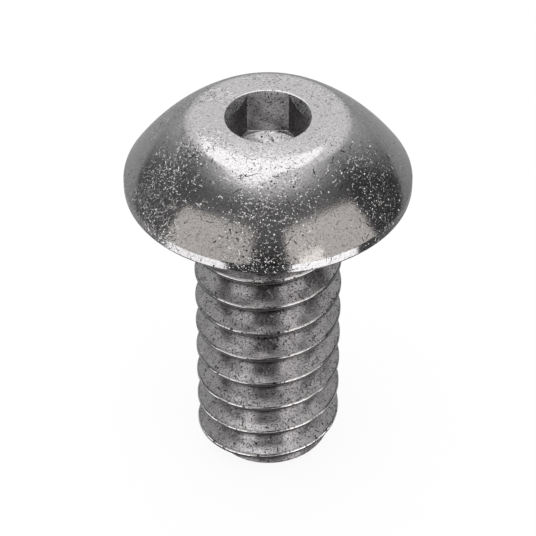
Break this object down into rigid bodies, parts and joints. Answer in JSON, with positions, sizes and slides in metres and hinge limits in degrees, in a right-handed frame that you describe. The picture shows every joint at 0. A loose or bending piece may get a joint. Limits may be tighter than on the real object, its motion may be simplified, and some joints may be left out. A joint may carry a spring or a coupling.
{
  "type": "button head socket cap screw",
  "caption": "Button head socket cap screw in worn bare steel: low dome with a flat top, hex socket with a countersunk mouth, coarse right-hand thread and chamfered tip.",
  "frame": {"origin": "centre of the flat face at the tip of the thread", "axes": "+Z along the screw's axis from the tip to the head; the hex socket has a flat wall on +Y and on -Y, and -Y faces the viewer of the picture"},
  "size_m": [0.0066, 0.0066, 0.0097],
  "materials": {
    "steel": "bare steel, tumbled and worn, with fine dark pits, bright specks and hair scratches"
  },
  "bodies": {
    "root": {"screw": "steel"}
  },
  "joints": []
}
